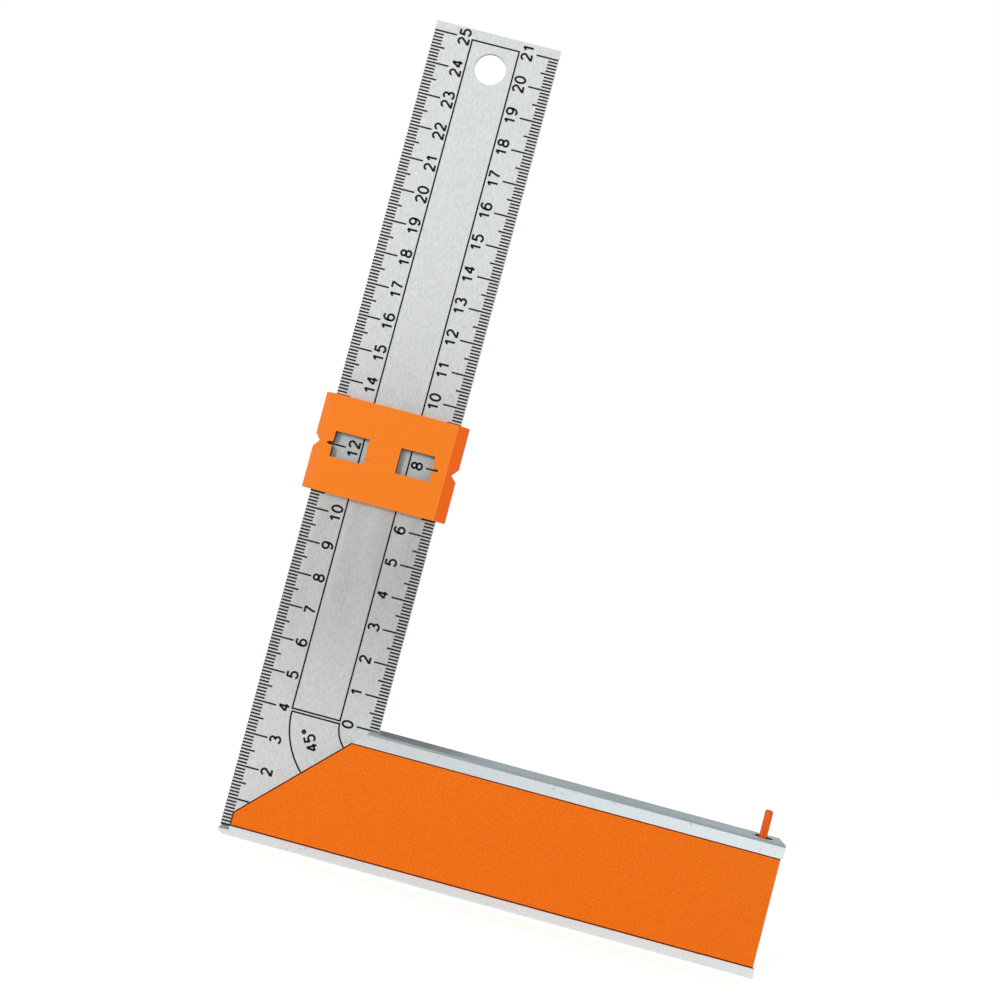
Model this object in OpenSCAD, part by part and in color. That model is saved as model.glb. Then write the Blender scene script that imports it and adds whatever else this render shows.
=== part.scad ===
// Carpenter's set square with a sliding marking gauge and a spring-loaded support pin.
// Millimetres. X runs along the stock, Y through its thickness with the front at -Y,
// and Z up the blade. The origin is the middle of the stock's outer edge.
// Inside the modules X counts from the blade's outer edge, where the square's corner is.

/* [Blade] */
// Width of the steel blade
blade_w = 39; // [34:0.5:46]
// Thickness of the steel blade
blade_t = 1.1; // [0.8:0.1:1.6]
// Length that the outer scale reads, from the stock's outer edge
reading_len = 250; // [180:10:400]
// Bare steel beyond the last mark of the outer scale
blade_tip = 3; // [2:0.5:8]
// Diameter of the hanging hole
hang_d = 9.6; // [6:0.2:12]
// Distance from the blade's end to the middle of the hanging hole
hang_drop = 10.8; // [8:0.2:20]

/* [Stock] */
// Length of the stock, from the blade's outer edge to its far end
stock_len = 163; // [130:1:220]
// Width of the stock, from its outer edge to its inner edge
stock_w = 40; // [38:0.5:50]
// Thickness of the stock over its rails
stock_t = 12; // [11:0.5:16]
// Width of the bare rail along the inner edge
inner_rail = 4.1; // [2.8:0.1:5]
// Width of the bare rail along the outer edge
outer_rail = 3.1; // [2.4:0.1:4]
// Thickness of the web between the rails
web_t = 7; // [6.6:0.1:8]
// Chamfer along the rails' long edges
rail_edge = 0.7; // [0.2:0.1:1]
// Aluminium left under the blade's lower end
foot_wall = 1.6; // [1:0.1:2.2]
// Height at which the 45 degree face would cross the blade's outer edge
mitre_rise = 3.4; // [3:0.1:6]
// Distance from the blade's outer edge to the stock's blunt nose
nose_back = 3.8; // [2:0.1:5]
// Distance from the blade's outer edge to the toe of the outer rail
toe_back = 0.6; // [0.3:0.1:1.5]
// Height of the toe, which holds the blade's lower corner
toe_h = 1.8; // [1.7:0.1:2.4]
// Chamfer on the toe of the outer rail
toe_cut = 1.4; // [0.8:0.1:1.6]

/* [Inlays] */
// How far an inlay's face lies below the rails
inlay_drop = 0.25; // [0.1:0.05:0.6]
// Gap between an inlay and each rail
inlay_gap = 0.15; // [0.05:0.05:0.4]
// Distance from an inlay's end to the stock's far end
inlay_end = 0.6; // [0.2:0.1:2]

/* [Rivets] */
// Diameter of a blade rivet's shank
rivet_d = 4; // [3:0.2:5]
// Diameter of a rivet's countersunk head
rivet_head_d = 6; // [5.4:0.2:7]
// Depth of a rivet's countersunk head
rivet_head_h = 1.1; // [0.8:0.1:1.6]
// Distance of a rivet's middle from the blade's edge, the rail and the 45 degree face
rivet_edge = 7; // [5.5:0.5:8]
// Clearance round a rivet
rivet_fit = 0.02; // [0.01:0.01:0.05]

/* [Support pin] */
// Distance from the stock's far end to the pin's axis
pin_end = 6; // [5:0.5:20]
// Length of the pin that stands out of the inner edge, which is also its travel
pin_show = 8; // [5:0.5:9]
// Diameter of the pin's tip
pin_d = 2.4; // [2:0.1:3]
// Chamfer round the pin's end
pin_nose = 0.4; // [0.2:0.1:0.8]
// Diameter of the collar that guides the pin in its bore
collar_d = 5; // [4.4:0.1:5.2]
// Depth of the collar's shoulder below the inner edge
collar_drop = 1.6; // [1.3:0.1:3]
// Length of the cone between the tip and the collar
cone_len = 1.2; // [0.6:0.1:1.2]
// Plastic left above and below the slot in the collar
pin_wall = 1.2; // [0.8:0.1:2]
// Diameter of the spigot that centres the spring
spigot_d = 2.6; // [1.6:0.1:2.8]
// Length of the spigot
spigot_len = 2; // [1:0.5:4]
// Clearance between the collar and its bore
bore_fit = 0.1; // [0.05:0.01:0.1]
// Diameter of the countersink at the bore's mouth
mouth_d = 6.2; // [6:0.1:7.5]
// Depth of the countersink at the bore's mouth
mouth_h = 0.5; // [0.3:0.1:1]
// Diameter of the cross pin that stops the support pin
stop_d = 1.5; // [1:0.1:2]
// Clearance between the cross pin and the slot
slot_fit = 0.08; // [0.05:0.01:0.1]
// Free slot left when the support pin is pushed right in
slot_spare = 0.3; // [0.2:0.1:1]

/* [Pin spring] */
// Length of the coil spring with the pin out
spring_len = 16; // [14:0.5:17]
// Diameter of the spring's wire
wire_d = 0.5; // [0.4:0.05:0.6]
// Number of turns
turns = 8; // [6:1:9]
// Clearance between the spring and its bore
spring_fit = 0.35; // [0.2:0.05:0.4]

/* [Slider] */
// Reading of the slider on the outer scale
slider_at = 120; // [80:1:160]
// Thickness of the slider's wall beside the blade, at its waist
slider_wall = 2.7; // [2.5:0.1:5]
// Width of each sloping side, seen from the front
slope_w = 3; // [2:0.1:3.5]
// Height of the slider along the blade
slider_h = 29.5; // [24:0.5:44]
// Depth of the slider over the blade's face
cover_t = 3.5; // [3:0.1:5]
// Half height of the slider's upright side band
side_h = 1; // [0.9:0.1:1.6]
// Clearance between the slider and the blade
slide_fit = 0.1; // [0.05:0.01:0.2]
// Width of a reading window
window_w = 10.5; // [8:0.1:12]
// Height of a reading window
window_h = 7.8; // [6:0.1:12]
// Distance from the blade's outer edge to the window over the outer scale
left_window_in = 3.4; // [3:0.1:5]
// Distance from the blade's inner edge to the window over the inner scale
right_window_in = 4.8; // [3:0.1:5]
// Length of the pointer slit beside a window
pointer_len = 1.8; // [1:0.1:2.6]
// Width of the pointer slit at the window
pointer_w = 1.3; // [0.8:0.1:2]
// Width of the pointer slit at its end
pointer_tip = 0.5; // [0.3:0.1:0.8]
// Width of a pencil notch
notch_w = 4; // [3:0.1:5]
// Depth of a pencil notch
notch_d = 1.9; // [1.2:0.1:2.1]
// Diameter of a locating peg
peg_d = 1; // [0.8:0.1:1.2]
// Height of a locating peg
peg_h = 0.8; // [0.6:0.1:1]
// Distance from the slider's end to a peg's middle
peg_end = 3; // [2:0.5:6]
// Clearance round a peg
peg_fit = 0.03; // [0.02:0.01:0.06]

/* [Slider spring] */
// Width of the leaf spring
leaf_w = 8; // [5:0.5:16]
// Length of the leaf spring
leaf_len = 18; // [12:1:22]
// Thickness of the leaf spring
leaf_t = 0.25; // [0.15:0.05:0.4]
// Rise of the leaf spring's bow
leaf_bow = 1.3; // [0.8:0.1:1.6]
// Clearance round the leaf spring in its pocket
leaf_fit = 0.4; // [0.2:0.1:0.8]
// Clearance between the leaf spring and what it bears on
leaf_seat = 0.04; // [0.02:0.01:0.08]

/* [Hidden] */

// Facets round a full turn
$fn = 96;
// Overrun of every cut
over = 1;
// Clearance between the blade and its slot in the stock
slot_side = 0.04;
// Rings in a turn of the coil spring, and sides of its wire
coil_rings = 8;
coil_sides = 6;

blade_top = reading_len + blade_tip;
blade_mid = blade_w / 2;
hang_z = blade_top - hang_drop;

field_low = outer_rail + inlay_gap;
field_high = stock_w - inner_rail - inlay_gap;
inlay_t = (stock_t - web_t) / 2 - inlay_drop;

pin_x = stock_len - pin_end;
bore_d = collar_d + 2 * bore_fit;
collar_top = stock_w - collar_drop;
slot_top = collar_top - pin_wall;
stop_z = slot_top - slot_spare - pin_show - stop_d / 2;
collar_low = stop_z - stop_d / 2 - pin_wall;
bore_floor = collar_low - spring_len;

// Middle radius of the coil spring, its rise in one turn, and the gap between its turns
coil_r = bore_d / 2 - spring_fit - wire_d / 2;
coil_low = bore_floor + wire_d;
coil_high = collar_low - wire_d;
coil_pitch = (coil_high - coil_low) / turns;
echo(least_gap_between_turns = coil_pitch - wire_d);

// The slider's two halves part just in front of the blade
part_y = blade_t / 2 + slide_fit;
slider_w = blade_w + 2 * slider_wall;
slider_deep = blade_t / 2 + cover_t;
wall_mid = (slider_w / 2 + blade_mid + slide_fit) / 2;
pocket_deep = blade_t / 2 + leaf_bow + leaf_t + 2 * leaf_seat;
leaf_r = (leaf_len * leaf_len / 4 + leaf_bow * leaf_bow) / (2 * leaf_bow);

// Where the 45 degree face lies at a height above the outer edge, and over a place along it
function mitre_x(z) = z - mitre_rise;
function mitre_z(x) = x + mitre_rise;

// Middles of the rivets, two along the outer rail and one up beside the 45 degree face
rivet_at = [
    [mitre_x(outer_rail + rivet_edge) + 1.5 * rivet_edge, outer_rail + rivet_edge],
    [blade_w - rivet_edge, outer_rail + rivet_edge],
    [blade_w - rivet_edge, mitre_z(blade_w - 2 * rivet_edge)]];

// Moves a piece from the corner of the square to the part's own origin
module placed() {
    translate([-stock_len / 2, 0, 0]) children();
}

// An upright plate drawn in X and Z, with its middle at the given depth
module plate(thick, depth = 0) {
    translate([0, depth, 0]) rotate([90, 0, 0])
        linear_extrude(height = thick, center = true) children();
}

// The stock seen from the front: 45 degree face, blunt nose, and the toe of the outer rail
module stock_outline() {
    polygon([
        [toe_back + toe_cut, 0], [stock_len, 0], [stock_len, stock_w],
        [mitre_x(stock_w), stock_w], [nose_back, mitre_z(nose_back)],
        [nose_back, toe_h], [toe_back, toe_h], [toe_back, toe_cut]]);
}

// The extruded section of the stock: a web between two rails
module stock_section() {
    rail = stock_t / 2;
    web = web_t / 2;
    half = [
        [rail - rail_edge, 0], [rail, rail_edge], [rail, outer_rail], [web, outer_rail],
        [web, stock_w - inner_rail], [rail, stock_w - inner_rail],
        [rail, stock_w - rail_edge], [rail - rail_edge, stock_w]];
    polygon(concat(half, [for (i = [len(half) - 1 : -1 : 0]) [-half[i][0], half[i][1]]]));
}

// One rivet, or the hole for it when it is grown by the clearance
module rivet(grow = 0) {
    rotate([90, 0, 0]) {
        cylinder(d = rivet_d + 2 * grow, h = web_t, center = true);
        for (side = [0, 1]) mirror([0, 0, side])
            translate([0, 0, web_t / 2 - rivet_head_h])
                cylinder(d1 = rivet_d + 2 * grow, d2 = rivet_head_d + 2 * grow, h = rivet_head_h);
    }
}

module rivets(grow = 0) {
    for (at = rivet_at) translate([at[0], 0, at[1]]) rivet(grow);
}

// The bore for the support pin, with its countersunk mouth
module pin_bore() {
    flare = (mouth_d - bore_d) / mouth_h;
    translate([pin_x, 0, bore_floor]) cylinder(d = bore_d, h = stock_w - bore_floor + over);
    translate([pin_x, 0, stock_w - mouth_h])
        cylinder(d1 = bore_d, d2 = mouth_d + flare * over, h = mouth_h + over);
}

module cross_pin(grow = 0) {
    translate([pin_x, 0, stop_z]) rotate([90, 0, 0])
        cylinder(d = stop_d + 2 * grow, h = web_t, center = true);
}

module stock() {
    slot_t = blade_t + 2 * slot_side;
    color("silver") difference() {
        intersection() {
            rotate([90, 0, 90]) linear_extrude(height = stock_len) stock_section();
            plate(stock_t) stock_outline();
        }
        translate([-over, -slot_t / 2, foot_wall - slot_side])
            cube([blade_w + slot_side + over, slot_t, stock_w + over]);
        rivets(rivet_fit);
        pin_bore();
        cross_pin(rivet_fit);
    }
}

module blade() {
    color("lightgray") difference() {
        translate([0, -blade_t / 2, foot_wall])
            cube([blade_w, blade_t, blade_top - foot_wall]);
        translate([blade_mid, 0, hang_z]) rotate([90, 0, 0])
            cylinder(d = hang_d, h = blade_t + over, center = true);
        for (at = rivet_at) translate([at[0], 0, at[1]]) rotate([90, 0, 0])
            cylinder(d = rivet_d + 2 * rivet_fit, h = blade_t + over, center = true);
    }
}

module blade_rivets() {
    color("gray") rivets();
}

module inlay() {
    tail = stock_len - inlay_end;
    plate(inlay_t, -(web_t + inlay_t) / 2) polygon([
        [nose_back, field_low], [tail, field_low], [tail, field_high],
        [mitre_x(field_high), field_high], [nose_back, mitre_z(nose_back)]]);
}

module front_inlay() {
    color("darkorange") inlay();
}

module rear_inlay() {
    color("darkorange") mirror([0, 1, 0]) inlay();
}

// The slot that the cross pin runs in, closed by round ends
module travel_slot() {
    slot_w = stop_d + 2 * slot_fit;
    run = pin_show + slot_spare;
    for (up = [0, run]) translate([0, 0, stop_z + up]) rotate([90, 0, 0])
        cylinder(d = slot_w, h = collar_d + over, center = true);
    translate([-slot_w / 2, -(collar_d + over) / 2, stop_z])
        cube([slot_w, collar_d + over, run]);
}

module support_pin() {
    tip = stock_w + pin_show;
    color("orangered") translate([pin_x, 0, 0]) difference() {
        union() {
            translate([0, 0, collar_top]) cylinder(d = pin_d, h = tip - pin_nose - collar_top);
            translate([0, 0, tip - pin_nose])
                cylinder(d1 = pin_d, d2 = pin_d - 2 * pin_nose, h = pin_nose);
            translate([0, 0, collar_top]) cylinder(d1 = collar_d, d2 = pin_d, h = cone_len);
            translate([0, 0, collar_low]) cylinder(d = collar_d, h = collar_top - collar_low);
            translate([0, 0, collar_low - spigot_len])
                cylinder(d = spigot_d, h = spigot_len);
        }
        travel_slot();
    }
}

// A point of the coil's middle line at a share of its length, and the ring of wire round it
function coil_point(s) = [
    coil_r * cos(360 * turns * s), coil_r * sin(360 * turns * s),
    coil_low + (coil_high - coil_low) * s];
function coil_heading(s) =
    let (way = [-sin(360 * turns * s), cos(360 * turns * s), coil_pitch / (2 * PI * coil_r)])
    way / norm(way);
function coil_ring(s) =
    let (outward = [cos(360 * turns * s), sin(360 * turns * s), 0],
         upward = cross(outward, coil_heading(s)))
    [for (k = [0 : coil_sides - 1])
        let (turn = 360 * k / coil_sides)
        coil_point(s) + wire_d / 2 * (cos(turn) * outward + sin(turn) * upward)];

module pin_spring() {
    rings = turns * coil_rings;
    points = [for (i = [0 : rings]) each coil_ring(i / rings)];
    sides = [for (i = [0 : rings - 1], k = [0 : coil_sides - 1])
        let (next = (k + 1) % coil_sides, base = i * coil_sides)
        each [[base + k, base + next, base + coil_sides + next],
              [base + k, base + coil_sides + next, base + coil_sides + k]]];
    start_cap = [for (k = [coil_sides - 1 : -1 : 0]) k];
    end_cap = [for (k = [0 : coil_sides - 1]) rings * coil_sides + k];
    color("dimgray") translate([pin_x, 0, 0])
        polyhedron(points, concat(sides, [start_cap, end_cap]));
}

module pin_stop() {
    color("gray") cross_pin();
}

// One half of the slider in plan, from the parting plane out to its face
module slider_half(from_y) {
    waist = slider_w / 2;
    face = waist - slope_w;
    polygon([
        [-waist, -from_y], [-waist, -side_h], [-face, -slider_deep],
        [face, -slider_deep], [waist, -side_h], [waist, -from_y]]);
}

// The pencil notches in the slider's two sides
module notches() {
    waist = slider_w / 2;
    open = over * notch_w / (2 * notch_d);
    for (side = [0, 1]) mirror([side, 0, 0])
        plate(2 * (slider_deep + over)) polygon([
            [waist - notch_d, 0], [waist + over, notch_w / 2 + open],
            [waist + over, -notch_w / 2 - open]]);
}

// A reading window that starts at a distance from the blade's edge, with its pointer slit
module window(inset) {
    edge = blade_mid - inset;
    plate(2 * (slider_deep + over)) {
        translate([edge - window_w, -window_h / 2]) square([window_w, window_h]);
        polygon([
            [edge - over, -pointer_w / 2], [edge, -pointer_w / 2],
            [edge + pointer_len, -pointer_tip / 2], [edge + pointer_len, pointer_tip / 2],
            [edge, pointer_w / 2], [edge - over, pointer_w / 2]]);
    }
}

// The four pegs that line up the slider's halves, or their sockets
module pegs(grow = 0) {
    for (x = [-wall_mid, wall_mid], z = [-1, 1])
        translate([x, -part_y + over, z * (slider_h / 2 - peg_end)]) rotate([90, 0, 0])
            cylinder(d = peg_d + 2 * grow, h = peg_h + grow + over);
}

module at_slider() {
    translate([blade_mid, 0, slider_at]) children();
}

module slider_front() {
    color("orange") at_slider() difference() {
        linear_extrude(height = slider_h, center = true) slider_half(part_y);
        notches();
        window(right_window_in);
        mirror([1, 0, 0]) window(left_window_in);
        pegs(peg_fit);
    }
}

module slider_back() {
    channel_w = blade_w + 2 * slide_fit;
    color("orange") at_slider() {
        difference() {
            linear_extrude(height = slider_h, center = true) {
                mirror([0, 1]) slider_half(0);
                translate([-slider_w / 2, -part_y]) square([slider_w, part_y]);
            }
            translate([-channel_w / 2, -part_y - over, -slider_h / 2 - over])
                cube([channel_w, 2 * part_y + over, slider_h + 2 * over]);
            translate([-leaf_w / 2 - leaf_fit, 0, -leaf_len / 2 - leaf_fit])
                cube([leaf_w + 2 * leaf_fit, pocket_deep, leaf_len + 2 * leaf_fit]);
            notches();
        }
        pegs();
    }
}

// A bowed strip whose crest bears on the blade and whose ends sit on the pocket's floor
module slider_spring() {
    crest = blade_t / 2 + leaf_seat;
    color("gray") at_slider()
        rotate([90, 0, 90]) linear_extrude(height = leaf_w, center = true)
            translate([crest, 0]) intersection() {
                translate([leaf_r + leaf_t, 0]) difference() {
                    circle(r = leaf_r + leaf_t);
                    circle(r = leaf_r);
                }
                translate([0, -leaf_len / 2]) square([leaf_bow + leaf_t, leaf_len]);
            }
}

placed() stock();
placed() blade();
placed() blade_rivets();
placed() front_inlay();
placed() rear_inlay();
placed() support_pin();
placed() pin_spring();
placed() pin_stop();
placed() slider_front();
placed() slider_back();
placed() slider_spring();
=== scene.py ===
import math

import bmesh
import bpy
from mathutils import Matrix, Vector


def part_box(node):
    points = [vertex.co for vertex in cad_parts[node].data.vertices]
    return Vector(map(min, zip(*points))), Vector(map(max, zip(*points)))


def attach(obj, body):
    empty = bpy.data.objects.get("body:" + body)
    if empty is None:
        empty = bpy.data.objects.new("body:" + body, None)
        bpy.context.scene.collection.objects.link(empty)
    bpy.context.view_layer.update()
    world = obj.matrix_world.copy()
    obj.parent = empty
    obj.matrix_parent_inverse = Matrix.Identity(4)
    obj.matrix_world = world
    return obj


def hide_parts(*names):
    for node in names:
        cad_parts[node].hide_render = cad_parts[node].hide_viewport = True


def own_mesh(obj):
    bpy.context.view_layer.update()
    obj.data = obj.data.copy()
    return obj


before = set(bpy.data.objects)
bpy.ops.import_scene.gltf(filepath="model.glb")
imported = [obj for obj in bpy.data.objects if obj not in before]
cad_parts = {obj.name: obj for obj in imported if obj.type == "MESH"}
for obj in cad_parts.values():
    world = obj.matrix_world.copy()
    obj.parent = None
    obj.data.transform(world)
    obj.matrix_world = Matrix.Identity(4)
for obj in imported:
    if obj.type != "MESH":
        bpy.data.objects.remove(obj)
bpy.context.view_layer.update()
MM = 0.001


# The stock: a length of extruded aluminium with a web between two rails, sawn square at its
# far end and at 45 degrees under the blade, then clear anodised. The blade's slot is milled
# into the sawn end, and the support pin's bore is drilled from the inner edge.
STOCK_EDGE = 0.12 * MM
SAME_PLACE = 0.001 * MM
FLAT_WITHIN = math.radians(0.5)
SHARP_FROM = math.radians(25)
EDGE_STEPS = 2
SATIN_SILVER = (0.835, 0.9, 0.912)
DULL_SILVER = (0.735, 0.8, 0.815)
WORN_SILVER = (0.56, 0.6, 0.6)
NOISE_LOW = 0.3
NOISE_HIGH = 0.7
SCUFFS_FROM = 0.66
SCUFF_BORDER = 0.04
BORE_WALL = 2.95 * MM
# The pin's bore is painted near black: painted shade deep in the bore.
BORE_SHADE = (0.03, 0.026, 0.024)


def break_edges(node, width):
    """Rounds the sharp edges of a piece, as tumbling or a mould's radius would."""
    weld = node.modifiers.new("weld", "WELD")
    weld.merge_threshold = SAME_PLACE
    flats = node.modifiers.new("flats", "DECIMATE")
    flats.decimate_type = "DISSOLVE"
    flats.angle_limit = FLAT_WITHIN
    edges = node.modifiers.new("edges", "BEVEL")
    edges.width = width
    edges.segments = EDGE_STEPS
    edges.limit_method = "ANGLE"
    edges.angle_limit = SHARP_FROM
    edges.harden_normals = True


def new_finish(name, colour, roughness, metallic=0.0, shine=0.5):
    """A material with a principled shader. Its colour is linear red, green and blue."""
    finish = bpy.data.materials.new(name)
    finish.use_nodes = True
    shader = finish.node_tree.nodes["Principled BSDF"]
    shader.inputs["Base Color"].default_value = (*colour, 1)
    shader.inputs["Roughness"].default_value = roughness
    shader.inputs["Metallic"].default_value = metallic
    shader.inputs["Specular IOR Level"].default_value = shine
    return finish


def grain(finish, sizes_mm, detail=2.0):
    """Noise between 0 and 1, whose marks measure so many millimetres along X, Y and Z."""
    tree = finish.node_tree
    place = tree.nodes.new("ShaderNodeTexCoord")
    mapping = tree.nodes.new("ShaderNodeMapping")
    mapping.inputs["Scale"].default_value = [1 / (size * MM) for size in sizes_mm]
    noise = tree.nodes.new("ShaderNodeTexNoise")
    noise.inputs["Scale"].default_value = 1
    noise.inputs["Detail"].default_value = detail
    tree.links.new(place.outputs["Object"], mapping.inputs["Vector"])
    tree.links.new(mapping.outputs["Vector"], noise.inputs["Vector"])
    return noise.outputs["Fac"]


def vary(finish, pattern, entry, low, high):
    """Lets a pattern of noise move one of the shader's numbers between a low and a high value."""
    tree = finish.node_tree
    spread = tree.nodes.new("ShaderNodeMapRange")
    spread.inputs["From Min"].default_value = NOISE_LOW
    spread.inputs["From Max"].default_value = NOISE_HIGH
    spread.inputs["To Min"].default_value = low
    spread.inputs["To Max"].default_value = high
    tree.links.new(pattern, spread.inputs["Value"])
    tree.links.new(spread.outputs["Result"], tree.nodes["Principled BSDF"].inputs[entry])


def tint(finish, pattern, one, other, softness=0.2):
    """Lets a pattern mix two colours over the surface."""
    tree = finish.node_tree
    ramp = tree.nodes.new("ShaderNodeValToRGB")
    ramp.color_ramp.elements[0].position = 0.5 - softness
    ramp.color_ramp.elements[0].color = (*one, 1)
    ramp.color_ramp.elements[1].position = 0.5 + softness
    ramp.color_ramp.elements[1].color = (*other, 1)
    tree.links.new(pattern, ramp.inputs["Fac"])
    tree.links.new(ramp.outputs["Color"], tree.nodes["Principled BSDF"].inputs["Base Color"])


def emboss(finish, pattern, depth_mm, strength=1.0):
    """Raises a pattern by a depth in millimetres, on top of any relief that is there."""
    tree = finish.node_tree
    shader = tree.nodes["Principled BSDF"]
    relief = tree.nodes.new("ShaderNodeBump")
    relief.inputs["Distance"].default_value = depth_mm * MM
    relief.inputs["Strength"].default_value = strength
    for link in list(shader.inputs["Normal"].links):
        tree.links.new(link.from_socket, relief.inputs["Normal"])
    tree.links.new(pattern, relief.inputs["Height"])
    tree.links.new(relief.outputs["Normal"], shader.inputs["Normal"])


def dress(node_name, finish, edge):
    """Gives a piece of the frame its finish and its broken edges."""
    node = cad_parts[node_name]
    node.material_slots[0].material = finish
    break_edges(node, edge)


def scuffs(finish, pattern):
    """The few places where a pattern rises highest: 1 there, and 0 elsewhere."""
    cut = finish.node_tree.nodes.new("ShaderNodeMapRange")
    cut.inputs["From Min"].default_value = SCUFFS_FROM
    cut.inputs["From Max"].default_value = SCUFFS_FROM + SCUFF_BORDER
    finish.node_tree.links.new(pattern, cut.inputs["Value"])
    return cut.outputs["Result"]


def inside_bore(finish, axis_x, radius):
    """The wall of an upright bore: 1 within a radius of its axis, and 0 elsewhere."""
    tree = finish.node_tree
    place = tree.nodes.new("ShaderNodeTexCoord")
    flat = tree.nodes.new("ShaderNodeMapping")
    flat.inputs["Location"].default_value = (-axis_x, 0, 0)
    flat.inputs["Scale"].default_value = (1, 1, 0)
    reach = tree.nodes.new("ShaderNodeVectorMath")
    reach.operation = "LENGTH"
    within = tree.nodes.new("ShaderNodeMath")
    within.operation = "LESS_THAN"
    within.inputs[1].default_value = radius
    tree.links.new(place.outputs["Object"], flat.inputs["Vector"])
    tree.links.new(flat.outputs["Vector"], reach.inputs[0])
    tree.links.new(reach.outputs["Value"], within.inputs[0])
    return within.outputs[0]


def stain(finish, mask, colour):
    """Lays a colour over the finish wherever a mask is 1."""
    tree = finish.node_tree
    entry = tree.nodes["Principled BSDF"].inputs["Base Color"]
    over = tree.nodes.new("ShaderNodeMixRGB")
    over.inputs["Color2"].default_value = (*colour, 1)
    tree.links.new(mask, over.inputs["Fac"])
    tree.links.new(entry.links[0].from_socket, over.inputs["Color1"])
    tree.links.new(over.outputs["Color"], entry)


pin_low, pin_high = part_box("support_pin")
bore_middle = (pin_low.x + pin_high.x) / 2
satin_aluminium = new_finish("satin_aluminium", SATIN_SILVER, roughness=0.4, metallic=1.0)
die_lines = grain(satin_aluminium, sizes_mm=(40, 0.25, 0.25))
frosting = grain(satin_aluminium, sizes_mm=(0.7, 0.5, 0.5), detail=5.0)
handling = grain(satin_aluminium, sizes_mm=(2.5, 0.8, 0.8), detail=6.0)
tint(satin_aluminium, frosting, DULL_SILVER, SATIN_SILVER)
stain(satin_aluminium, scuffs(satin_aluminium, handling), WORN_SILVER)
# Painted shade: the wall of the pin's bore is painted near black.
stain(satin_aluminium, inside_bore(satin_aluminium, bore_middle, BORE_WALL), BORE_SHADE)
vary(satin_aluminium, die_lines, "Roughness", low=0.3, high=0.46)
emboss(satin_aluminium, die_lines, depth_mm=0.01, strength=0.5)
emboss(satin_aluminium, frosting, depth_mm=0.02, strength=0.4)
dress("stock", satin_aluminium, STOCK_EDGE)


# The blade: a strip of stainless steel rule, ground and brushed along its length, pushed into
# the stock's slot and riveted there. Its hanging hole is punched near the free end.
BLADE_EDGE = 0.12 * MM
STEEL = (0.76, 0.785, 0.78)
STEEL_SHADE = (0.61, 0.635, 0.63)

brushed_steel = new_finish("brushed_steel", STEEL, roughness=0.3, metallic=0.5)
brush_marks = grain(brushed_steel, sizes_mm=(0.3, 0.3, 1.6), detail=5.0)
mill_clouds = grain(brushed_steel, sizes_mm=(5, 5, 60), detail=3.0)
tint(brushed_steel, brush_marks, STEEL_SHADE, STEEL, softness=0.16)
vary(brushed_steel, mill_clouds, "Roughness", low=0.26, high=0.34)
emboss(brushed_steel, brush_marks, depth_mm=0.005, strength=0.5)
dress("blade", brushed_steel, BLADE_EDGE)


# The scales: millimetre marks and numerals etched into the blade's front and filled with
# black. The outer scale counts from the stock's outer edge, and the inner one from its inner
# edge. Every mark is a shallow bar whose face stands a hair over the steel.
LINE_W = 0.52 * MM
LINE_PROUD = 0.012 * MM
LINE_SUNK = 0.03 * MM
FROM_EDGE = 0.12 * MM
MARK_1 = 3.1 * MM
MARK_5 = 4.4 * MM
MARK_10 = 7.0 * MM
MITRE_LIMIT = 1.4
TOUCHING = 0.0001 * MM
PEN_W = 0.66 * MM
NUMERAL_W = 1.9 * MM
NUMERAL_H = 3.1 * MM
NUMERAL_PITCH = 2.8 * MM
OUTER_NUMERALS_IN = 9.4 * MM
INNER_NUMERALS_IN = 9.8 * MM
READS_UPWARD = math.radians(90)
OUTER_FIRST = 2
OUTER_FIRST_NUMERAL = 20
OUTER_LAST = 250
INNER_FIRST = 0
INNER_LAST = 210
FILL_BLACK = (0.004, 0.004, 0.005)
FILL_WORN = (0.014, 0.014, 0.015)
FILL_SHINE = 0.2

blade_low, blade_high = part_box("blade")
stock_low, stock_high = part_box("stock")
STEEL_FACE = blade_low.y


def bend(middle, radii, start, end, steps=16):
    """Points along part of an ellipse, between angles in degrees, anticlockwise from the right."""
    angles = [math.radians(start + (end - start) * step / steps) for step in range(steps + 1)]
    return [(middle[0] + radii[0] * math.cos(a), middle[1] + radii[1] * math.sin(a)) for a in angles]


# The pen's path in each numeral, as shares of its width and height
SIX_SHARES = [bend((0.5, 0.31), (0.49, 0.31), 0, 360), bend((0.57, 0.5), (0.55, 0.5), 50, 200)]
NUMERAL_SHARES = {
    "0": [bend((0.5, 0.5), (0.5, 0.5), 0, 360)],
    "1": [[(0.6, 0), (0.6, 1)], [(0.12, 0.72), (0.36, 0.82), (0.58, 0.98)]],
    "2": [bend((0.5, 0.72), (0.46, 0.28), 170, -35) + [(0.04, 0.02)], [(-0.04, 0), (1, 0)]],
    "3": [bend((0.47, 0.755), (0.42, 0.245), 155, -90), bend((0.47, 0.26), (0.53, 0.26), 90, -155)],
    "4": [[(0.74, 0), (0.74, 1)], [(0.7, 0.97), (0.02, 0.32)], [(-0.04, 0.29), (1.06, 0.29)]],
    "5": [[(0.92, 1), (0.2, 1), (0.08, 0.5)], bend((0.48, 0.32), (0.52, 0.32), 142, -155)],
    "6": SIX_SHARES,
    "7": [[(0, 1), (1, 1)], [(0.95, 0.97), (0.66, 0.6), (0.48, 0.28), (0.4, 0)]],
    "8": [bend((0.5, 0.755), (0.42, 0.245), 0, 360), bend((0.5, 0.255), (0.5, 0.255), 0, 360)],
    "9": [[(1 - x, 1 - y) for x, y in path] for path in SIX_SHARES],
    "°": [bend((0.3, 0.87), (0.22, 0.13), 0, 360)],
}


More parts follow.
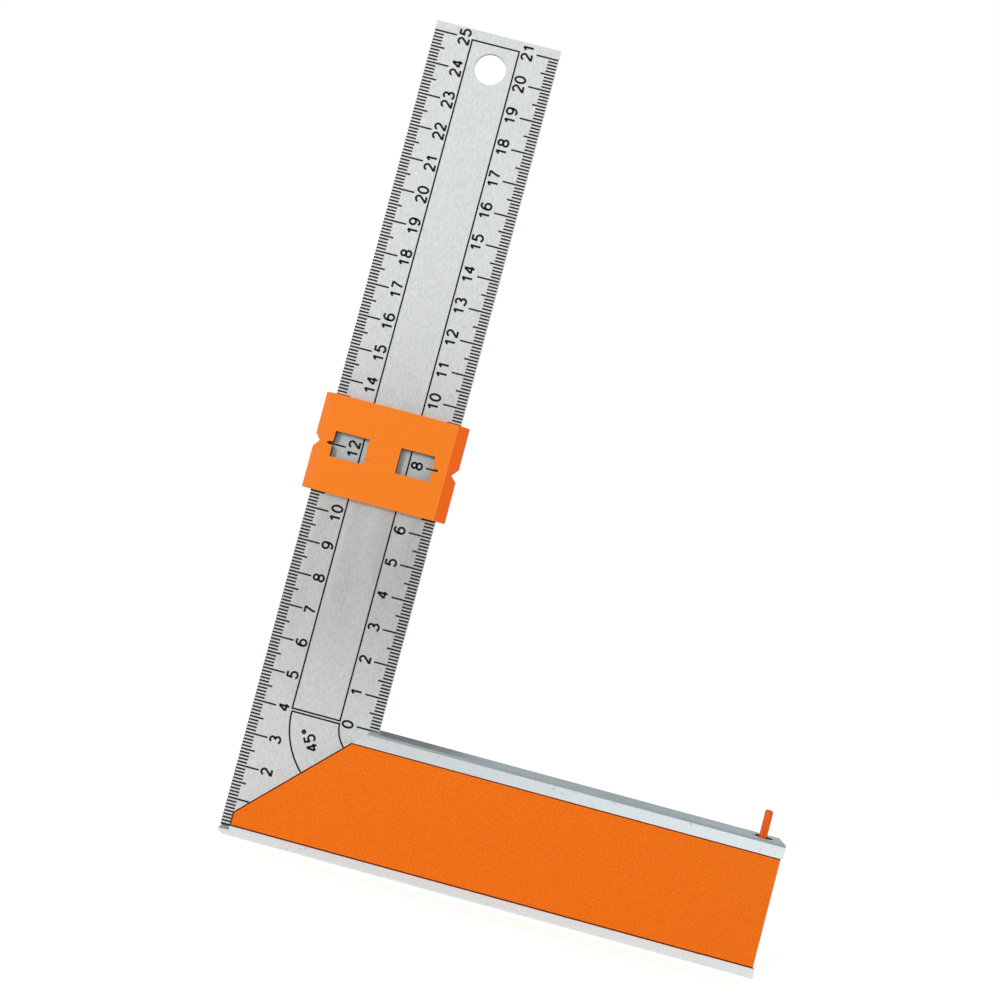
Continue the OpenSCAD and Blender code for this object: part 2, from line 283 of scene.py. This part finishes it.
def etch(marks, path, width, face=STEEL_FACE, outward=-1):
    """A filled line of even width along a path on a flat face, given as X and Z."""
    points = [Vector(point) for point in path]
    closed = (points[0] - points[-1]).length < TOUCHING
    if closed:
        points.pop()
    nowhere = Vector((0, 0))
    top = face + outward * LINE_PROUD
    floor = face - outward * LINE_SUNK
    rings = []
    for i, point in enumerate(points):
        came = (point - points[i - 1]).normalized() if closed or i > 0 else nowhere
        after = points[(i + 1) % len(points)]
        goes = (after - point).normalized() if closed or i + 1 < len(points) else nowhere
        along = came + goes
        widen = min(MITRE_LIMIT, 2 / along.length) if came.length and goes.length else 1
        side = Vector((-along.y, along.x)).normalized() * width / 2 * widen
        corners = ((point + side, top), (point - side, top), (point - side, floor), (point + side, floor))
        rings.append([marks.verts.new((place.x, depth, place.y)) for place, depth in corners])
    for one, other in zip(rings, rings[1:] + rings[:1] if closed else rings[1:]):
        for i in range(4):
            marks.faces.new((one[i - 1], one[i], other[i], other[i - 1]))
    if not closed:
        marks.faces.new(rings[0])
        marks.faces.new(rings[-1])


def letter(marks, numerals, middle, turn):
    """Numerals on the blade's face, turned anticlockwise about their middle."""
    length = NUMERAL_PITCH * (len(numerals) - 1) + NUMERAL_W
    facing = Matrix.Rotation(turn, 2)
    for count, numeral in enumerate(numerals):
        start = Vector((count * NUMERAL_PITCH - length / 2, -NUMERAL_H / 2))
        for path in NUMERAL_SHARES[numeral]:
            sized = [start + Vector((x * NUMERAL_W, y * NUMERAL_H)) for x, y in path]
            etch(marks, [Vector(middle) + facing @ point for point in sized], PEN_W)


def etched(name, marks, finish):
    """Turns the drawn lines into a piece that rides on the square."""
    bmesh.ops.recalc_face_normals(marks, faces=marks.faces)
    mesh = bpy.data.meshes.new(name)
    marks.to_mesh(mesh)
    marks.free()
    mesh.materials.append(finish)
    piece = bpy.data.objects.new(name, mesh)
    bpy.context.scene.collection.objects.link(piece)
    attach(piece, "square")


def scale_marks(edge, inward, zero, readings, first_numeral, numerals_in):
    """A scale along one edge of the blade, counted in millimetres up from its zero."""
    first, last = readings
    marks = bmesh.new()
    for reading in range(first, last + 1):
        height = zero + reading * MM
        length = MARK_10 if reading % 10 == 0 else MARK_5 if reading % 5 == 0 else MARK_1
        etch(marks, [(edge + inward * FROM_EDGE, height), (edge + inward * length, height)], LINE_W)
        if reading % 10 == 0 and reading >= first_numeral:
            letter(marks, str(reading // 10), (edge + inward * numerals_in, height), READS_UPWARD)
    return marks


black_fill = new_finish("black_fill", FILL_BLACK, roughness=0.55, shine=FILL_SHINE)
pits = grain(black_fill, sizes_mm=(0.3, 0.3, 0.3), detail=4.0)
tint(black_fill, pits, FILL_BLACK, FILL_WORN)
vary(black_fill, pits, "Roughness", low=0.45, high=0.65)
emboss(black_fill, pits, depth_mm=0.01, strength=0.5)
outer_readings = (OUTER_FIRST, OUTER_LAST)
outer = scale_marks(
    blade_low.x, 1, stock_low.z, outer_readings, OUTER_FIRST_NUMERAL, OUTER_NUMERALS_IN)
etched("outer_scale", outer, black_fill)
inner_readings = (INNER_FIRST, INNER_LAST)
inner = scale_marks(
    blade_high.x, -1, stock_high.z, inner_readings, INNER_FIRST, INNER_NUMERALS_IN)
etched("inner_scale", inner, black_fill)


# The blade's fine lines: a long frame between the two scales, and two arcs with the angle
# of the sawn end, struck from where that end meets the blade's inner edge. They are etched
# and filled like the scales.
FINE_LINE = 0.52 * MM
FRAME_LEFT = blade_low.x + 11.9 * MM
FRAME_RIGHT = blade_low.x + 26.7 * MM
FRAME_TOP = stock_low.z + 249.7 * MM
FRAME_FOOT = stock_high.z + 0.4 * MM
CROSS_LINE = stock_high.z - 0.5 * MM
MITRE_POINT = (blade_low.x + 36.4 * MM, stock_high.z)
OUTER_ARC = 24.4 * MM
INNER_ARC = 9.6 * MM
ARC_START = 181.5
ARC_END = 228
ARC_STEPS = 40
ANGLE_MIDDLE = (blade_low.x + 19.3 * MM, stock_low.z + 32.9 * MM)
ANGLE_TURN = math.radians(119)

frame_marks = bmesh.new()
frame_corners = [
    (FRAME_LEFT, FRAME_FOOT), (FRAME_LEFT, FRAME_TOP), (FRAME_RIGHT, FRAME_TOP),
    (FRAME_RIGHT, FRAME_FOOT), (FRAME_LEFT, FRAME_FOOT)]
etch(frame_marks, frame_corners, FINE_LINE)
etch(frame_marks, [(FRAME_LEFT, CROSS_LINE), (FRAME_RIGHT, CROSS_LINE)], FINE_LINE)
etched("centre_frame", frame_marks, black_fill)

mitre_marks = bmesh.new()
for radius in (OUTER_ARC, INNER_ARC):
    etch(mitre_marks, bend(MITRE_POINT, (radius, radius), ARC_START, ARC_END, ARC_STEPS), FINE_LINE)
letter(mitre_marks, "45°", ANGLE_MIDDLE, ANGLE_TURN)
etched("mitre_mark", mitre_marks, black_fill)


# The blade rivets and the pin's cross pin: turned steel, hidden under the inlays. The rivets
# are closed into countersinks on both sides of the web.
RIVET_EDGE = 0.06 * MM
TURNED_STEEL = (0.5, 0.5, 0.51)
TURNED_SHADE = (0.4, 0.4, 0.41)

turned_steel = new_finish("turned_steel", TURNED_STEEL, roughness=0.35, metallic=1.0)
tool_marks = grain(turned_steel, sizes_mm=(0.15, 0.15, 0.15), detail=3.0)
tint(turned_steel, tool_marks, TURNED_SHADE, TURNED_STEEL)
vary(turned_steel, tool_marks, "Roughness", low=0.28, high=0.45)
emboss(turned_steel, tool_marks, depth_mm=0.006, strength=0.4)
dress("blade_rivets", turned_steel, RIVET_EDGE)
dress("pin_stop", turned_steel, RIVET_EDGE)


# The springs: the coil that pushes the support pin out, and the bowed leaf that holds the
# slider where it is put. Both are drawn spring steel, blued by tempering. The coil is wound
# from round wire and stands on the bore's floor; on the real tool it is half as long when the pin is
# pressed in, but here it is built at its free length and does not shorten.
SPRING_EDGE = 0.03 * MM
WIRE = 0.5 * MM
COIL_TURNS = 8
RINGS_IN_TURN = 20
SIDES_OF_WIRE = 8
BLUED = (0.3, 0.31, 0.34)
STRAW = (0.42, 0.38, 0.33)


def wound_wire(name, axis_x, radius, foot, top):
    """A wire wound round an upright axis, from the height of its foot to that of its top."""
    wire = bmesh.new()
    rings = []
    steps = COIL_TURNS * RINGS_IN_TURN
    upward = Vector((0, 0, 1))
    for step in range(steps + 1):
        wound = math.radians(360 * step / RINGS_IN_TURN)
        outward = Vector((math.cos(wound), math.sin(wound), 0))
        middle = Vector((axis_x, 0, foot + (top - foot) * step / steps)) + outward * radius
        ring = []
        for side in range(SIDES_OF_WIRE):
            around = math.radians(360 * side / SIDES_OF_WIRE)
            reach = outward * math.cos(around) + upward * math.sin(around)
            ring.append(wire.verts.new(middle + reach * WIRE / 2))
        rings.append(ring)
    for one, other in zip(rings, rings[1:]):
        for i in range(SIDES_OF_WIRE):
            strip = wire.faces.new((one[i - 1], one[i], other[i], other[i - 1]))
            strip.smooth = True
    wire.faces.new(rings[0])
    wire.faces.new(rings[-1])
    bmesh.ops.recalc_face_normals(wire, faces=wire.faces)
    mesh = bpy.data.meshes.new(name)
    wire.to_mesh(mesh)
    wire.free()
    coil = bpy.data.objects.new(name, mesh)
    bpy.context.scene.collection.objects.link(coil)
    return coil


blued_steel = new_finish("blued_steel", BLUED, roughness=0.32, metallic=1.0)
temper = grain(blued_steel, sizes_mm=(4, 4, 4), detail=2.0)
draw_marks = grain(blued_steel, sizes_mm=(0.12, 0.12, 0.12), detail=2.0)
tint(blued_steel, temper, BLUED, STRAW)
vary(blued_steel, draw_marks, "Roughness", low=0.25, high=0.42)
emboss(blued_steel, draw_marks, depth_mm=0.004, strength=0.4)
coil_low, coil_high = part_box("pin_spring")
coil_middle = (coil_low.x + coil_high.x) / 2
coil_radius = (coil_high.x - coil_low.x - WIRE) / 2
coil_foot = coil_low.z + WIRE / 2
coil_top = coil_high.z - WIRE / 2
pin_coil = wound_wire("pin_coil", coil_middle, coil_radius, coil_foot, coil_top)
pin_coil.data.materials.append(blued_steel)
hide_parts("pin_spring")
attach(pin_coil, "square")
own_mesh(pin_coil)
dress("slider_spring", blued_steel, SPRING_EDGE)


# The inlays: orange plates bonded between the stock's rails, one on each face, a little
# below them. They are moulded with a fine matte spark texture. A dark line is painted all
# along their borders with the rails and the sawn end: painted shade for the step down from the rails.
INLAY_EDGE = 0.1 * MM
INLAY_SHINE = 0.15
INLAY_ORANGE = (0.92, 0.21, 0.008)
INLAY_DEEP = (0.83, 0.13, 0.002)
# The dark line along the inlays' borders is painted shade.
SHADE_LINE_W = 0.4 * MM
SHADE_LINE_IN = 0.03 * MM
SHADE_LINE_SHINE = 0.05
SHADE_LINE_BROWN = (0.18, 0.014, 0.003)
SHADE_LINE_BLACK = (0.05, 0.006, 0.003)
MITRE_RISE = 3.4 * MM

matte_orange = new_finish("matte_orange", INLAY_ORANGE, roughness=0.6, shine=INLAY_SHINE)
speckle = grain(matte_orange, sizes_mm=(0.38, 0.38, 0.38), detail=5.0)
tint(matte_orange, speckle, INLAY_DEEP, INLAY_ORANGE, softness=0.1)
vary(matte_orange, speckle, "Roughness", low=0.52, high=0.7)
emboss(matte_orange, speckle, depth_mm=0.03, strength=0.5)
dress("front_inlay", matte_orange, INLAY_EDGE)
dress("rear_inlay", matte_orange, INLAY_EDGE)


def painted_shade_line(name, inlay_name, outward):
    """A painted shade line along three sides of an inlay, from its far end round the nose and back."""
    low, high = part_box(inlay_name)
    left, foot, top = low.x + SHADE_LINE_IN, low.z + SHADE_LINE_IN, high.z - SHADE_LINE_IN
    nose = low.x - blade_low.x + MITRE_RISE - SHADE_LINE_IN
    sawn = blade_low.x - MITRE_RISE + top + SHADE_LINE_IN
    path = [(high.x, foot), (left, foot), (left, nose), (sawn, top), (high.x, top)]
    marks = bmesh.new()
    etch(marks, path, SHADE_LINE_W, low.y if outward < 0 else high.y, outward)
    etched(name, marks, shade_line_paint)


shade_line_paint = new_finish("shade_line_paint", SHADE_LINE_BROWN, roughness=0.5, shine=SHADE_LINE_SHINE)
line_tone = grain(shade_line_paint, sizes_mm=(2, 2, 2), detail=3.0)
tint(shade_line_paint, line_tone, SHADE_LINE_BLACK, SHADE_LINE_BROWN)
vary(shade_line_paint, line_tone, "Roughness", low=0.4, high=0.6)
emboss(shade_line_paint, line_tone, depth_mm=0.01, strength=0.4)
painted_shade_line("front_shade_line", "front_inlay", -1)
painted_shade_line("rear_shade_line", "rear_inlay", 1)


# The support pin: one turned or moulded piece of hard orange plastic. Its thin tip stands
# out of the stock's inner edge, and its collar runs in the bore.
PIN_EDGE = 0.08 * MM
PIN_SHINE = 0.2
PIN_ORANGE = (0.88, 0.13, 0.001)
PIN_DEEP = (0.74, 0.07, 0.001)

glossy_orange = new_finish("glossy_orange", PIN_ORANGE, roughness=0.2, shine=PIN_SHINE)
flow_marks = grain(glossy_orange, sizes_mm=(0.4, 0.4, 2.5), detail=3.0)
tint(glossy_orange, flow_marks, PIN_DEEP, PIN_ORANGE)
vary(glossy_orange, flow_marks, "Roughness", low=0.14, high=0.24)
emboss(glossy_orange, flow_marks, depth_mm=0.01, strength=0.3)
dress("support_pin", glossy_orange, PIN_EDGE)


# The slider: two moulded halves of bright orange plastic, pegged and glued together round
# the blade. The front has a reading window over each scale, and both have the pencil notches.
# The windows' walls are painted dark red as painted shade, and the slope on the stock's side is painted a
# darker, redder orange as painted shade.
SLIDER_EDGE = 0.16 * MM
SLIDER_SHINE = 0.2
SLIDER_ORANGE = (0.95, 0.25, 0.016)
SLIDER_DEEP = (0.87, 0.18, 0.007)
# Painted shade: the slope facing right is painted a darker, redder orange.
SHADED_SIDE_ORANGE = (1.0, 0.155, 0.004)
SIDE_STARTS = 0.33
SIDE_WHOLE = 0.66
# Painted shade: the plastic round the windows, deeper than a hair under the front, is painted near
# black-red.
WINDOW_SHADE_RED = (0.06, 0.005, 0.002)
WINDOW_SHADE_STARTS = 0.3 * MM
WINDOW_SHADE_HALF_W = 17.5 * MM
WINDOW_SHADE_HALF_H = 9.0 * MM


def facing_right(finish):
    """The slope on the stock's side: 1 where a surface faces well to the right, and 0 elsewhere."""
    tree = finish.node_tree
    place = tree.nodes.new("ShaderNodeTexCoord")
    parts = tree.nodes.new("ShaderNodeSeparateXYZ")
    turned = tree.nodes.new("ShaderNodeMapRange")
    turned.inputs["From Min"].default_value = SIDE_STARTS
    turned.inputs["From Max"].default_value = SIDE_WHOLE
    tree.links.new(place.outputs["Normal"], parts.inputs[0])
    tree.links.new(parts.outputs["X"], turned.inputs["Value"])
    return turned.outputs["Result"]


def within_block(finish, middle, halves):
    """The part of a piece that lies in an upright block: 1 within it, and 0 elsewhere."""
    tree = finish.node_tree
    place = tree.nodes.new("ShaderNodeTexCoord")
    from_middle = tree.nodes.new("ShaderNodeVectorMath")
    from_middle.operation = "SUBTRACT"
    from_middle.inputs[1].default_value = middle
    apart = tree.nodes.new("ShaderNodeVectorMath")
    apart.operation = "ABSOLUTE"
    inside_by = tree.nodes.new("ShaderNodeVectorMath")
    inside_by.operation = "SUBTRACT"
    inside_by.inputs[0].default_value = halves
    parts = tree.nodes.new("ShaderNodeSeparateXYZ")
    least = tree.nodes.new("ShaderNodeMath")
    least.operation = "MINIMUM"
    least_of_all = tree.nodes.new("ShaderNodeMath")
    least_of_all.operation = "MINIMUM"
    within = tree.nodes.new("ShaderNodeMath")
    within.operation = "GREATER_THAN"
    within.inputs[1].default_value = 0
    tree.links.new(place.outputs["Object"], from_middle.inputs[0])
    tree.links.new(from_middle.outputs["Vector"], apart.inputs[0])
    tree.links.new(apart.outputs["Vector"], inside_by.inputs[1])
    tree.links.new(inside_by.outputs["Vector"], parts.inputs[0])
    tree.links.new(parts.outputs["X"], least.inputs[0])
    tree.links.new(parts.outputs["Y"], least.inputs[1])
    tree.links.new(least.outputs[0], least_of_all.inputs[0])
    tree.links.new(parts.outputs["Z"], least_of_all.inputs[1])
    tree.links.new(least_of_all.outputs[0], within.inputs[0])
    return within.outputs[0]


front_low, front_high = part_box("slider_front")
middle_of_front = (front_low + front_high) / 2
window_shade_half_d = (STEEL_FACE - front_low.y - WINDOW_SHADE_STARTS) / 2
window_shade_middle = (middle_of_front.x, STEEL_FACE - window_shade_half_d, middle_of_front.z)
window_shade_halves = (WINDOW_SHADE_HALF_W, window_shade_half_d, WINDOW_SHADE_HALF_H)
satin_orange = new_finish("satin_orange", SLIDER_ORANGE, roughness=0.45, shine=SLIDER_SHINE)
spark_texture = grain(satin_orange, sizes_mm=(0.45, 0.45, 0.45), detail=5.0)
tint(satin_orange, spark_texture, SLIDER_DEEP, SLIDER_ORANGE, softness=0.14)
# Painted shade on the slope facing right.
stain(satin_orange, facing_right(satin_orange), SHADED_SIDE_ORANGE)
# Painted shade in the windows' walls and round the blade.
stain(satin_orange, within_block(satin_orange, window_shade_middle, window_shade_halves), WINDOW_SHADE_RED)
vary(satin_orange, spark_texture, "Roughness", low=0.4, high=0.55)
emboss(satin_orange, spark_texture, depth_mm=0.025, strength=0.4)
dress("slider_front", satin_orange, SLIDER_EDGE)
dress("slider_back", satin_orange, SLIDER_EDGE)


# The studio: a plain pale floor under the stock's outer edge, a white room, and soft lamps,
# the strongest of them to the left of the camera. Cards of felt darken what the metal mirrors.
FLOOR_WIDTH = 6.0
FLOOR_PALE = (0.8, 0.8, 0.8)
FLOOR_GLOW = 0.525
FLOOR_IN_SHINE = 0.7
DULL_ROUGHNESS = 0.9
PURE_WHITE = (1, 1, 1, 1)
ROOM_LIGHT = 0.6
ROOM_SEEN = 1.0
LAMPS_AIM = Vector((-0.02, 0.0, 0.12))
CARD_GREY = (0.46, 0.51, 0.515)
CARD_SMOKE = (0.05, 0.052, 0.052)


def seen_directly(tree, in_shine=1.0):
    """1 for rays from the camera or through glass, in_shine for rays off gloss, 0 for others."""
    path = tree.nodes.new("ShaderNodeLightPath")
    dimmed = tree.nodes.new("ShaderNodeMath")
    dimmed.operation = "MULTIPLY"
    dimmed.inputs[1].default_value = in_shine
    tree.links.new(path.outputs["Is Glossy Ray"], dimmed.inputs[0])
    either = tree.nodes.new("ShaderNodeMath")
    either.operation = "MAXIMUM"
    tree.links.new(path.outputs["Is Camera Ray"], either.inputs[0])
    tree.links.new(dimmed.outputs[0], either.inputs[1])
    any_of = tree.nodes.new("ShaderNodeMath")
    any_of.operation = "MAXIMUM"
    tree.links.new(either.outputs[0], any_of.inputs[0])
    tree.links.new(path.outputs["Is Transmission Ray"], any_of.inputs[1])
    return any_of.outputs[0]


def soft_lamp(name, place, width, watts):
    """A soft box that is turned towards the middle of the tool."""
    light = bpy.data.lights.new(name, "AREA")
    light.shape = "SQUARE"
    light.size = width
    light.energy = watts
    lamp = bpy.data.objects.new(name, light)
    lamp.location = place
    lamp.rotation_euler = (LAMPS_AIM - Vector(place)).to_track_quat("-Z", "Y").to_euler()
    bpy.context.scene.collection.objects.link(lamp)
    return lamp


def studio_sheet(name, corners, paint):
    """A flat sheet that belongs to the studio and not to the square."""
    mesh = bpy.data.meshes.new(name)
    mesh.from_pydata(corners, [], [(0, 1, 2, 3)])
    mesh.materials.append(paint)
    sheet = bpy.data.objects.new(name, mesh)
    bpy.context.scene.collection.objects.link(sheet)
    return sheet


def dark_card(name, corners, felt):
    """A card of dark felt that only shows in the shine of the metal and plastic."""
    card = studio_sheet(name, corners, felt)
    card.visible_camera = False
    card.visible_diffuse = False
    card.visible_shadow = False
    card.visible_transmission = False


def upright(x, y, foot, width, height):
    """The corners of an upright sheet, from the middle of its foot."""
    left, right, top = x - width / 2, x + width / 2, foot + height
    return [(left, y, foot), (right, y, foot), (right, y, top), (left, y, top)]


def level(x, y, z, width, depth):
    """The corners of a level sheet, from its middle."""
    left, right, near, far = x - width / 2, x + width / 2, y - depth / 2, y + depth / 2
    return [(left, near, z), (right, near, z), (right, far, z), (left, far, z)]


floor_paint = new_finish("floor_paint", FLOOR_PALE, roughness=DULL_ROUGHNESS, shine=0)
grey_felt = new_finish("grey_felt", CARD_GREY, roughness=DULL_ROUGHNESS, shine=0)
smoke_felt = new_finish("smoke_felt", CARD_SMOKE, roughness=DULL_ROUGHNESS, shine=0)
studio_sheet("floor", level(0, 0, stock_low.z, FLOOR_WIDTH, FLOOR_WIDTH), floor_paint)
dark_card("rear_card", upright(x=0.07, y=0.3, foot=0.05, width=0.7, height=0.3), grey_felt)
dark_card("left_card", upright(x=-0.185, y=0.28, foot=0.05, width=0.33, height=0.3), smoke_felt)
dark_card("front_card", upright(x=-0.08, y=-0.42, foot=0.0, width=0.2, height=0.17), smoke_felt)
dark_card("top_card", level(x=0.07, y=0.0, z=0.5, width=0.7, depth=0.5), grey_felt)
floor_tree = floor_paint.node_tree
floor_shader = floor_tree.nodes["Principled BSDF"]
floor_shader.inputs["Emission Color"].default_value = PURE_WHITE
glow = floor_tree.nodes.new("ShaderNodeMath")
glow.operation = "MULTIPLY"
glow.inputs[1].default_value = FLOOR_GLOW
floor_tree.links.new(seen_directly(floor_tree, FLOOR_IN_SHINE), glow.inputs[0])
floor_tree.links.new(glow.outputs[0], floor_shader.inputs["Emission Strength"])

room = bpy.data.worlds.new("room")
bpy.context.scene.world = room
room.use_nodes = True
room_tree = room.node_tree
room_light = room_tree.nodes["Background"]
room_light.inputs["Color"].default_value = PURE_WHITE
room_light.inputs["Strength"].default_value = ROOM_LIGHT
room_seen = room_tree.nodes.new("ShaderNodeBackground")
room_seen.inputs["Color"].default_value = PURE_WHITE
room_seen.inputs["Strength"].default_value = ROOM_SEEN
choice = room_tree.nodes.new("ShaderNodeMixShader")
room_tree.links.new(seen_directly(room_tree), choice.inputs["Fac"])
room_tree.links.new(room_light.outputs[0], choice.inputs[1])
room_tree.links.new(room_seen.outputs[0], choice.inputs[2])
room_tree.links.new(choice.outputs[0], room_tree.nodes["World Output"].inputs["Surface"])

key_lamp = soft_lamp("key_lamp", place=(-0.62, -1.32, 0.36), width=0.2, watts=8.4)
key_lamp.visible_glossy = False
fill_lamp = soft_lamp("fill_lamp", place=(0.9, -0.7, 0.3), width=0.8, watts=1.0)
fill_lamp.visible_glossy = False
edge_lamp = soft_lamp("edge_lamp", place=(-1.2, -0.7, 0.3), width=0.3, watts=6.0)
edge_lamp.visible_diffuse = False


# The camera: nearly square on to the blade, a little under its middle, and rolled so that the
# square leans to the right in the picture.
CAMERA_LENS = 50.25
CAMERA_SENSOR = 36.0
CAMERA_PLACE = Vector((-12.6, -418.96, 103.1)) * MM
CAMERA_TURN = math.radians(1.766)
CAMERA_TILT = math.radians(1.835)
CAMERA_ROLL = math.radians(14.884)
CAMERA_NEAR = 0.01
CAMERA_FAR = 20

lens = bpy.data.cameras.new("camera")
lens.lens = CAMERA_LENS
lens.sensor_width = CAMERA_SENSOR
lens.clip_start = CAMERA_NEAR
lens.clip_end = CAMERA_FAR
camera = bpy.data.objects.new("camera", lens)
bpy.context.scene.collection.objects.link(camera)
turn = Matrix.Rotation(CAMERA_TURN, 4, "Z")
tilt = Matrix.Rotation(math.radians(90) + CAMERA_TILT, 4, "X")
roll = Matrix.Rotation(CAMERA_ROLL, 4, "Z")
camera.matrix_world = Matrix.Translation(CAMERA_PLACE) @ turn @ tilt @ roll
bpy.context.scene.camera = camera
bpy.context.scene.view_settings.view_transform = "Standard"
